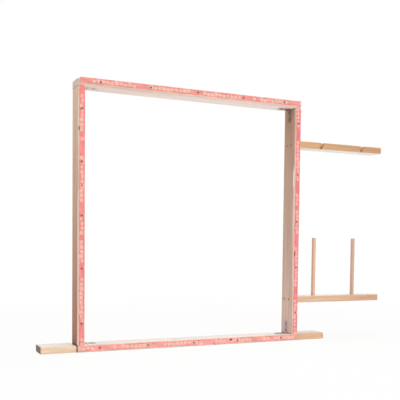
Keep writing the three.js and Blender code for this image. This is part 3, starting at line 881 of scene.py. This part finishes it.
def tack_pin_rows():
    """Geometry Nodes tree: two staggered rows of pins that lean away from the window."""
    numbers = dict.fromkeys(("Pitch", "Row Spacing", "Radius", "Reach", "Point", "Lean"), "Float")
    inputs = {"Geometry": "Geometry", "Count": "Int", **numbers, "Steel": "Material", "Seed": "Int"}
    tree, given, result = new_group(
        "tack_pin_rows", "GeometryNodeTree", inputs, {"Geometry": "Geometry"}
    )
    # A pin is a round wire with a ground point
    shank_length = add(tree, "Math", {0: given["Reach"], 1: given["Point"]}, operation="SUBTRACT")
    wire = {"Vertices": PIN_SIDES, "Radius": given["Radius"], "Depth": shank_length}
    shank = add(tree, "GeometryNodeMeshCylinder", wire)
    half_shank = add(tree, "Math", {0: shank_length, 1: 0.5}, operation="MULTIPLY")
    raised = add(tree, "CombineXYZ", {"Z": half_shank})
    standing = add(tree, "GeometryNodeTransform", {"Geometry": shank, "Translation": raised})
    cone = {"Radius Bottom": given["Radius"], "Radius Top": 0.0, "Depth": given["Point"]}
    point = add(tree, "GeometryNodeMeshCone", {"Vertices": PIN_SIDES, **cone})
    on_top = add(tree, "CombineXYZ", {"Z": shank_length})
    tipped = add(tree, "GeometryNodeTransform", {"Geometry": point, "Translation": on_top})
    pin = add(tree, "GeometryNodeJoinGeometry")
    for part in (standing, tipped):
        tree.links.new(part.outputs[0], pin.inputs[0])

    steps = add(tree, "Math", {0: given["Count"], 1: 1.0}, operation="SUBTRACT")
    span = add(tree, "Math", {0: steps, 1: given["Pitch"]}, operation="MULTIPLY")
    back = add(tree, "Math", {0: span, 1: -0.5}, operation="MULTIPLY")
    step = add(tree, "CombineXYZ", {"X": given["Pitch"]})
    rows = add(tree, "GeometryNodeJoinGeometry")
    for row in (-1, 1):
        stagger = {0: given["Pitch"], 1: -row / 4, 2: back}
        start = add(tree, "Math", stagger, operation="MULTIPLY_ADD")
        off = add(tree, "Math", {0: given["Row Spacing"], 1: row / 2}, operation="MULTIPLY")
        first = add(tree, "CombineXYZ", {"X": start, "Y": off})
        spaced = {"Count": given["Count"], "Start Location": first, "Offset": step}
        line = add(tree, "GeometryNodeMeshLine", spaced)
        tree.links.new(line.outputs[0], rows.inputs[0])
    # Each pin was struck in on its own, so it stands a few degrees off the others
    spread = {0: PIN_SWAY[0], 1: PIN_SWAY[1], "Seed": given["Seed"]}
    sway = add(tree, "FunctionNodeRandomValue", spread, data_type="FLOAT_VECTOR")
    lean = add(tree, "Math", {0: given["Lean"], 1: -1.0}, operation="MULTIPLY")
    leaning = add(tree, "CombineXYZ", {"X": lean})
    turn = add(tree, "VectorMath", {0: leaning, 1: sway}, operation="ADD")
    placed = {"Points": rows, "Instance": pin, "Rotation": turn}
    return end_in_steel(tree, given, result, add(tree, "GeometryNodeInstanceOnPoints", placed))


class TUFTING_OT_tack_pins(bpy.types.Operator):
    """Makes the rows of tack pins on the four strips"""

    bl_idname = "tufting_frame.tack_pins"
    bl_label = "Tack Pins"

    def execute(self, context):
        settings = context.scene.tufting_frame
        strip = settings.strip
        finish = {"roughness": 0.38, "mottle": 0.15, "grit": 3 * MM}
        hardened = steel("hardened_steel_pins", settings.steel.pin, **finish)
        tree = tack_pin_rows()
        for number, side in enumerate(SIDES):
            room = strip_extent(side, 0) - 2 * strip.pin_end_margin - strip.pin_pitch / 2
            values = {
                "Count": math.floor(room / strip.pin_pitch) + 1,
                "Pitch": strip.pin_pitch,
                "Row Spacing": strip.pin_row_spacing,
                "Radius": strip.pin_radius,
                "Reach": strip.pin_reach,
                "Point": strip.pin_point,
                "Lean": strip.pin_lean,
                "Steel": hardened,
                "Seed": number,
            }
            mesh = grown(side + "_tack_pins", bpy.data.meshes.new("rows"), tree, values)
            mesh.transform(strip_place(side))
            pins = to_object(side + "_tack_pins", mesh, [hardened])
            settle(pins, "frame", [side + "_gripper_strip"])
        return {"FINISHED"}


# Nails and screws: one template each, with its head's rim at the origin and its point down -Z


def driven_fasteners():
    """Geometry Nodes tree: one fastener on each point of the base mesh, along the point's facing."""
    inputs = {"Geometry": "Geometry", "Fastener": "Object", "Steel": "Material", "Seed": "Int"}
    tree, given, result = new_group(
        "driven_fasteners", "GeometryNodeTree", inputs, {"Geometry": "Geometry"}
    )
    template = add(tree, "GeometryNodeObjectInfo", {"Object": given["Fastener"]})
    facing = add(tree, "GeometryNodeInputNamedAttribute", {"Name": "facing"}, data_type="FLOAT_VECTOR")
    upright = add(tree, "FunctionNodeAlignRotationToVector", {"Vector": facing}, axis="Z")
    # No two heads stop at the same turn, and none is driven quite straight
    spread = {0: HEAD_SWAY[0], 1: HEAD_SWAY[1], "Seed": given["Seed"]}
    spin = add(tree, "FunctionNodeRandomValue", spread, data_type="FLOAT_VECTOR")
    spun = add(tree, "FunctionNodeEulerToRotation", {0: spin})
    both = {0: upright, 1: spun}
    turned = add(tree, "FunctionNodeRotateRotation", both, rotation_space="LOCAL")
    head = template.outputs["Geometry"]
    placed = {"Points": given["Geometry"], "Instance": head, "Rotation": turned}
    return end_in_steel(tree, given, result, add(tree, "GeometryNodeInstanceOnPoints", placed))


def seat_points(nodes):
    """A mesh with one point at each solid fastener's head, and the way that head faces."""
    mesh = bpy.data.meshes.new("seats")
    places = []
    for node, facing in nodes.items():
        low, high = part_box(node)
        reach = abs((high - low).dot(facing)) / 2
        places.append((low + high) / 2 + facing * reach)
    mesh.from_pydata(places, [], [])
    attribute = mesh.attributes.new("facing", "FLOAT_VECTOR", "POINT")
    attribute.data.foreach_set("vector", [value for facing in nodes.values() for value in facing])
    return mesh


def fasteners(name, nodes, template, material, seed):
    """Makes one piece that holds a fastener for each solid in nodes."""
    tree = bpy.data.node_groups.get("driven_fasteners") or driven_fasteners()
    values = {"Fastener": template, "Steel": material, "Seed": seed}
    mesh = grown(name, seat_points(nodes), tree, values)
    settle(to_object(name, mesh, [material]), "frame", list(nodes))


def nail_template():
    """A flat-headed nail: a pressed head with a rounded rim, a waist under it and a shank."""
    low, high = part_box("top_strip_nail_3")
    length = high.y - low.y
    radius = (high.x - low.x) / 2
    profile = [(0, -length), (NAIL_SHANK * radius, NAIL_POINT - length)]
    profile += [(share * radius, height * MM) for share, height in NAIL_HEAD]
    return to_object("nail", plain_mesh("nail", lathe(profile, steps=20)), [])


def cross_recess(radius, depth):
    """Two crossed wedges that taper to a blunt point, as a driver leaves room for."""
    bm = bmesh.new()
    for turn in (0, math.pi / 2):
        blade = bmesh.ops.create_cube(bm, size=1)["verts"]
        for vert in blade:
            top = vert.co.z > 0
            length, width = RECESS_TOP if top else RECESS_POINT
            vert.co.x *= length * radius
            vert.co.y *= width * radius
            # The cutter reaches well past the dome
            vert.co.z = 2 * depth if top else -depth
        bmesh.ops.rotate(bm, verts=blade, cent=(0, 0, 0), matrix=Matrix.Rotation(turn, 3, "Z"))
    return plain_mesh("recess", bm)


def screw_template(name, node, facing, shank_share, head_share):
    """A countersunk screw with a raised head, a cross recess and a thread on its shank."""
    settings = bpy.context.scene.tufting_frame.steel
    low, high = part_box(node)
    length = abs((high - low).dot(facing))
    radius = sorted(high - low)[0] / 2
    shank = shank_share * radius
    head = head_share * radius
    rise = settings.dome
    pitch = THREAD_PITCH * shank
    root = THREAD_ROOT * shank
    neck = SCREW_NECK * shank
    taper, blunt = SCREW_POINT
    profile = [(0, -length), (blunt * shank, taper * shank - length)]
    for i in range(int((length - head - 3 * shank) / pitch)):
        start = 2 * shank - length + i * pitch
        profile += [(root, start), (shank, start + 0.3 * pitch), (root, start + 0.6 * pitch)]
    # A narrow neck, a countersunk head with a thin rim, and its dome
    profile += [(neck, -head - 0.5 * shank), (neck, -head), (0.98 * radius, -0.3 * MM), (radius, 0)]
    profile += [(radius * math.cos(a), rise * math.sin(a)) for a in (0.35, 0.75, 1.15)]
    profile.append((0, rise))
    piece = to_object(name, plain_mesh(name, lathe(profile, steps=28)), [])
    cutter = to_object("recess", cross_recess(radius, settings.recess_depth), [])
    recess = piece.modifiers.new("recess", "BOOLEAN")
    recess.operation = "DIFFERENCE"
    recess.object = cutter
    recess.use_self = True
    mesh = evaluated(piece)
    piece.modifiers.clear()
    piece.data = mesh
    bpy.data.objects.remove(cutter)
    return piece


class TUFTING_OT_strip_nails(bpy.types.Operator):
    """Makes the nails that hold each gripper strip"""

    bl_idname = "tufting_frame.strip_nails"
    bl_label = "Strip Nails"

    def execute(self, context):
        settings = context.scene.tufting_frame
        finish = {"roughness": 0.5, "mottle": 0.3, "grit": 2 * MM}
        darkened = steel("darkened_steel_nails", settings.steel.nail, **finish)
        template = nail_template()
        for number, side in enumerate(SIDES):
            names = [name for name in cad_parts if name.startswith(side + "_strip_nail_")]
            nails = {name: FRONT for name in sorted(names)}
            seed = settings.strip.nail_seed + number
            fasteners(side + "_strip_nails", nails, template, darkened, seed)
        bpy.data.objects.remove(template)
        return {"FINISHED"}


class TUFTING_OT_brackets(bpy.types.Operator):
    """Makes the four zinc-plated corner brackets and their screws"""

    bl_idname = "tufting_frame.brackets"
    bl_label = "Corner Brackets"

    def execute(self, context):
        tones = context.scene.tufting_frame.steel
        black = {"roughness": 0.42, "mottle": 0.2, "grit": 2 * MM}
        zinc = {"roughness": 0.34, "mottle": 0.14, "grit": 6 * MM}
        blackened = steel("blackened_bracket_screws", tones.bracket_screw, **black)
        model = "bottom_left_bracket_rail_screw_1"
        way = CORNERS["bottom_left"][0]
        template = screw_template("bracket_screw", model, way, shank_share=0.44, head_share=0.5)
        for number, (corner, (rail_way, upright_way, tone)) in enumerate(CORNERS.items()):
            node = corner + "_bracket"
            # Each plate's colour holds the painted shade of its corner
            plated = steel("zinc_plated_" + node, linear(tone), **zinc)
            bracket = eased_copy(node + "_plate", node, BRACKET_EASE, [plated])
            settle(bracket, "frame", [node])
            screws = {}
            for i in (1, 2):
                screws[f"{node}_rail_screw_{i}"] = rail_way
                screws[f"{node}_upright_screw_{i}"] = upright_way
            fasteners(node + "_screws", screws, template, blackened, number)
        bpy.data.objects.remove(template)
        return {"FINISHED"}


class TUFTING_OT_arm_screws(bpy.types.Operator):
    """Makes the long screws that hold the two arms through the right upright"""

    bl_idname = "tufting_frame.arm_screws"
    bl_label = "Arm Screws"

    def execute(self, context):
        tone = context.scene.tufting_frame.steel.arm_screw
        finish = {"roughness": 0.45, "mottle": 0.15, "grit": 3 * MM}
        passivated = steel("yellow_passivated_arm_screws", tone, **finish)
        inward = Vector((-1, 0, 0))
        shares = {"shank_share": 0.52, "head_share": 0.83}
        template = screw_template("arm_screw", "spindle_arm_screw_front", inward, **shares)
        for number, arm in enumerate(("yarn_guide_arm", "spindle_arm")):
            screws = {f"{arm}_screw_{row}": inward for row in ("front", "back")}
            fasteners(arm + "_screws", screws, template, passivated, number)
        bpy.data.objects.remove(template)
        return {"FINISHED"}


class TUFTING_OT_spindles(bpy.types.Operator):
    """Makes the two turned spindles that lift out of the spindle arm"""

    bl_idname = "tufting_frame.spindles"
    bl_label = "Spindles"

    def execute(self, context):
        settings = context.scene.tufting_frame.spindle
        turn = settings.end_round
        angles = [math.radians(a) for a in (0, 30, 60, 90)]
        for node in ("inner_spindle", "outer_spindle"):
            low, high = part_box(node)
            middle = (low + high) / 2
            radius = (high.x - low.x) / 2
            core = radius - turn
            foot = [(core + turn * math.sin(a), low.z + turn - turn * math.cos(a)) for a in angles]
            body = [(radius, low.z + (high.z - low.z) * share) for share in (0.25, 0.5, 0.75)]
            top = [(core + turn * math.cos(a), high.z - turn + turn * math.sin(a)) for a in angles]
            bm = lathe([(0, low.z), *foot, *body, *top, (0, high.z)], steps=48)
            bmesh.ops.translate(bm, verts=bm.verts, vec=(middle.x, middle.y, 0))
            beech = turned_beech(node, getattr(settings, node))
            rod = to_object(node + "_rod", plain_mesh(node + "_rod", bm), [beech])
            shade_flat_faces(rod)
            settle(rod, node, [node])
        return {"FINISHED"}


# Studio


def seen_by_eye(tree):
    """1 where a ray comes from the camera, a mirror or clear glass, and 0 where it carries light."""
    ray = add(tree, "LightPath").outputs
    mirrored = {0: ray["Is Glossy Ray"], 1: ray["Is Transmission Ray"]}
    mirror = add(tree, "Math", mirrored, operation="MAXIMUM")
    return add(tree, "Math", {0: ray["Is Camera Ray"], 1: mirror}, operation="MAXIMUM")


def white_floor(tone, middle):
    """Matt white floor that the eye sees as white paper, with a trace of the shadows near the frame."""
    material, tree = new_material("matt_white_floor")
    matt = add(tree, "BsdfDiffuse", {"Color": opaque(tone)})
    white = add(tree, "Emission", {"Color": (1, 1, 1, 1), "Strength": 1.0})
    # Farther off it turns as white as the sky, so that no edge shows between them
    seen = add(tree, "TexCoord").outputs["Object"]
    away = add(tree, "VectorMath", {0: seen, 1: middle}, operation="DISTANCE").outputs["Value"]
    whiteness = add(tree, "MapRange", {0: away, 1: FADE_FROM, 2: FADE_TO, 3: NEAR_WHITE, 4: 1.0})
    share = add(tree, "Math", {0: seen_by_eye(tree), 1: whiteness}, operation="MULTIPLY")
    both = add(tree, "MixShader", {0: share, 1: matt, 2: white})
    add(tree, "OutputMaterial", {"Surface": both})
    return material


def white_sky(left_level, right_level):
    """A world that the eye sees as white, and whose soft light is a little weaker from the left."""
    world = bpy.data.worlds.new("white_sky")
    world.use_nodes = True
    tree = world.node_tree
    tree.nodes.clear()
    way = add(tree, "TexCoord").outputs["Generated"]
    to_right = add(tree, "VectorMath", {0: way, 1: (1, 0, 0)}, operation="DOT_PRODUCT")
    levels = {3: left_level, 4: right_level}
    soft = add(tree, "MapRange", {0: to_right.outputs["Value"], 1: -1, 2: 1, **levels})
    strength = add(tree, "Mix", {0: seen_by_eye(tree), 2: soft, 3: 1.0}, data_type="FLOAT")
    sky = add(tree, "Background", {"Color": (1, 1, 1, 1), "Strength": strength})
    add(tree, "OutputWorld", {"Surface": sky})
    return world


def softbox(name, place, target, width, height, power):
    """A rectangular lamp that looks at a target and that the camera doesn't see."""
    lamp = bpy.data.lights.new(name, "AREA")
    lamp.shape = "RECTANGLE"
    lamp.size = width
    lamp.size_y = height
    lamp.energy = power
    holder = bpy.data.objects.new(name, lamp)
    holder.location = place
    holder.rotation_euler = (target - place).to_track_quat("-Z", "Y").to_euler()
    holder.visible_camera = False
    bpy.context.scene.collection.objects.link(holder)


def photo_camera():
    """The camera that saw the frame, with its lens shifted as the picture was framed."""
    data = bpy.data.cameras.new("camera")
    data.sensor_width = SENSOR_WIDTH
    data.lens = FOCAL_PIXELS / PICTURE_PIXELS * SENSOR_WIDTH
    data.shift_y = (LENS_ROW - PICTURE_PIXELS / 2) / PICTURE_PIXELS
    camera = bpy.data.objects.new("camera", data)
    sine, cosine = math.sin(CAMERA_YAW), math.cos(CAMERA_YAW)
    reach = math.cos(CAMERA_PITCH)
    ahead = Vector((sine * reach, cosine * reach, math.sin(CAMERA_PITCH)))
    level = Vector((cosine, -sine, 0))
    upright = level.cross(ahead)
    right = math.cos(CAMERA_ROLL) * level + math.sin(CAMERA_ROLL) * upright
    up = math.cos(CAMERA_ROLL) * upright - math.sin(CAMERA_ROLL) * level
    turn = Matrix((right, up, -ahead)).transposed().to_4x4()
    camera.matrix_world = Matrix.Translation(CAMERA_PLACE) @ turn
    bpy.context.scene.collection.objects.link(camera)
    bpy.context.scene.camera = camera


class TUFTING_OT_studio(bpy.types.Operator):
    """Sets the floor, the soft light and the camera"""

    bl_idname = "tufting_frame.studio"
    bl_label = "Studio"

    def execute(self, context):
        studio = context.scene.tufting_frame.studio
        low, high = SOLID_BOX
        middle = (low + high) / 2
        mesh = bpy.data.meshes.new("floor")
        round_the_middle = ((-1, -1), (1, -1), (1, 1), (-1, 1))
        corners = [(x * FLOOR_HALF, y * FLOOR_HALF, low.z) for x, y in round_the_middle]
        mesh.from_pydata(corners, [], [(0, 1, 2, 3)])
        below = Vector((middle.x, middle.y, low.z))
        floor = to_object("floor", mesh, [white_floor(studio.floor, below)])
        context.scene.world = white_sky(studio.sky_left, studio.sky_right)
        for name, (place, width, height) in SOFTBOXES.items():
            power = getattr(studio, name)
            softbox(name + "_softbox", middle + place, middle, width, height, power)
        photo_camera()
        context.scene.view_settings.view_transform = "Standard"
        return {"FINISHED"}


# Panel and registration

OPERATORS = (
    TUFTING_OT_boards,
    TUFTING_OT_gripper_strips,
    TUFTING_OT_tack_pins,
    TUFTING_OT_strip_nails,
    TUFTING_OT_brackets,
    TUFTING_OT_arm_screws,
    TUFTING_OT_spindles,
    TUFTING_OT_studio,
)
GROUPS = (
    PineSettings,
    StripSettings,
    SteelSettings,
    SpindleSettings,
    StudioSettings,
    TuftingFrameSettings,
)


class TUFTING_PT_panel(bpy.types.Panel):
    """Lists the pieces of the tufting frame and their settings"""

    bl_label = "Tufting Frame"
    bl_idname = "TUFTING_PT_panel"
    bl_space_type = "VIEW_3D"
    bl_region_type = "UI"
    bl_category = "Tufting Frame"

    def draw(self, context):
        for operator in OPERATORS:
            self.layout.operator(operator.bl_idname)
        settings = context.scene.tufting_frame
        for name in TuftingFrameSettings.__annotations__:
            box = self.layout.box()
            box.label(text=name.capitalize())
            group = getattr(settings, name)
            for value in type(group).__annotations__:
                box.prop(group, value)


CLASSES = (*GROUPS, *OPERATORS, TUFTING_PT_panel)


def register():
    for item in CLASSES:
        bpy.utils.register_class(item)
    bpy.types.Scene.tufting_frame = PointerProperty(type=TuftingFrameSettings)


def unregister():
    del bpy.types.Scene.tufting_frame
    for item in reversed(CLASSES):
        bpy.utils.unregister_class(item)


def main():
    register()
    bpy.ops.tufting_frame.boards()
    bpy.ops.tufting_frame.gripper_strips()
    bpy.ops.tufting_frame.tack_pins()
    bpy.ops.tufting_frame.strip_nails()
    bpy.ops.tufting_frame.brackets()
    bpy.ops.tufting_frame.arm_screws()
    bpy.ops.tufting_frame.spindles()
    bpy.ops.tufting_frame.studio()


if __name__ == "__main__":
    main()
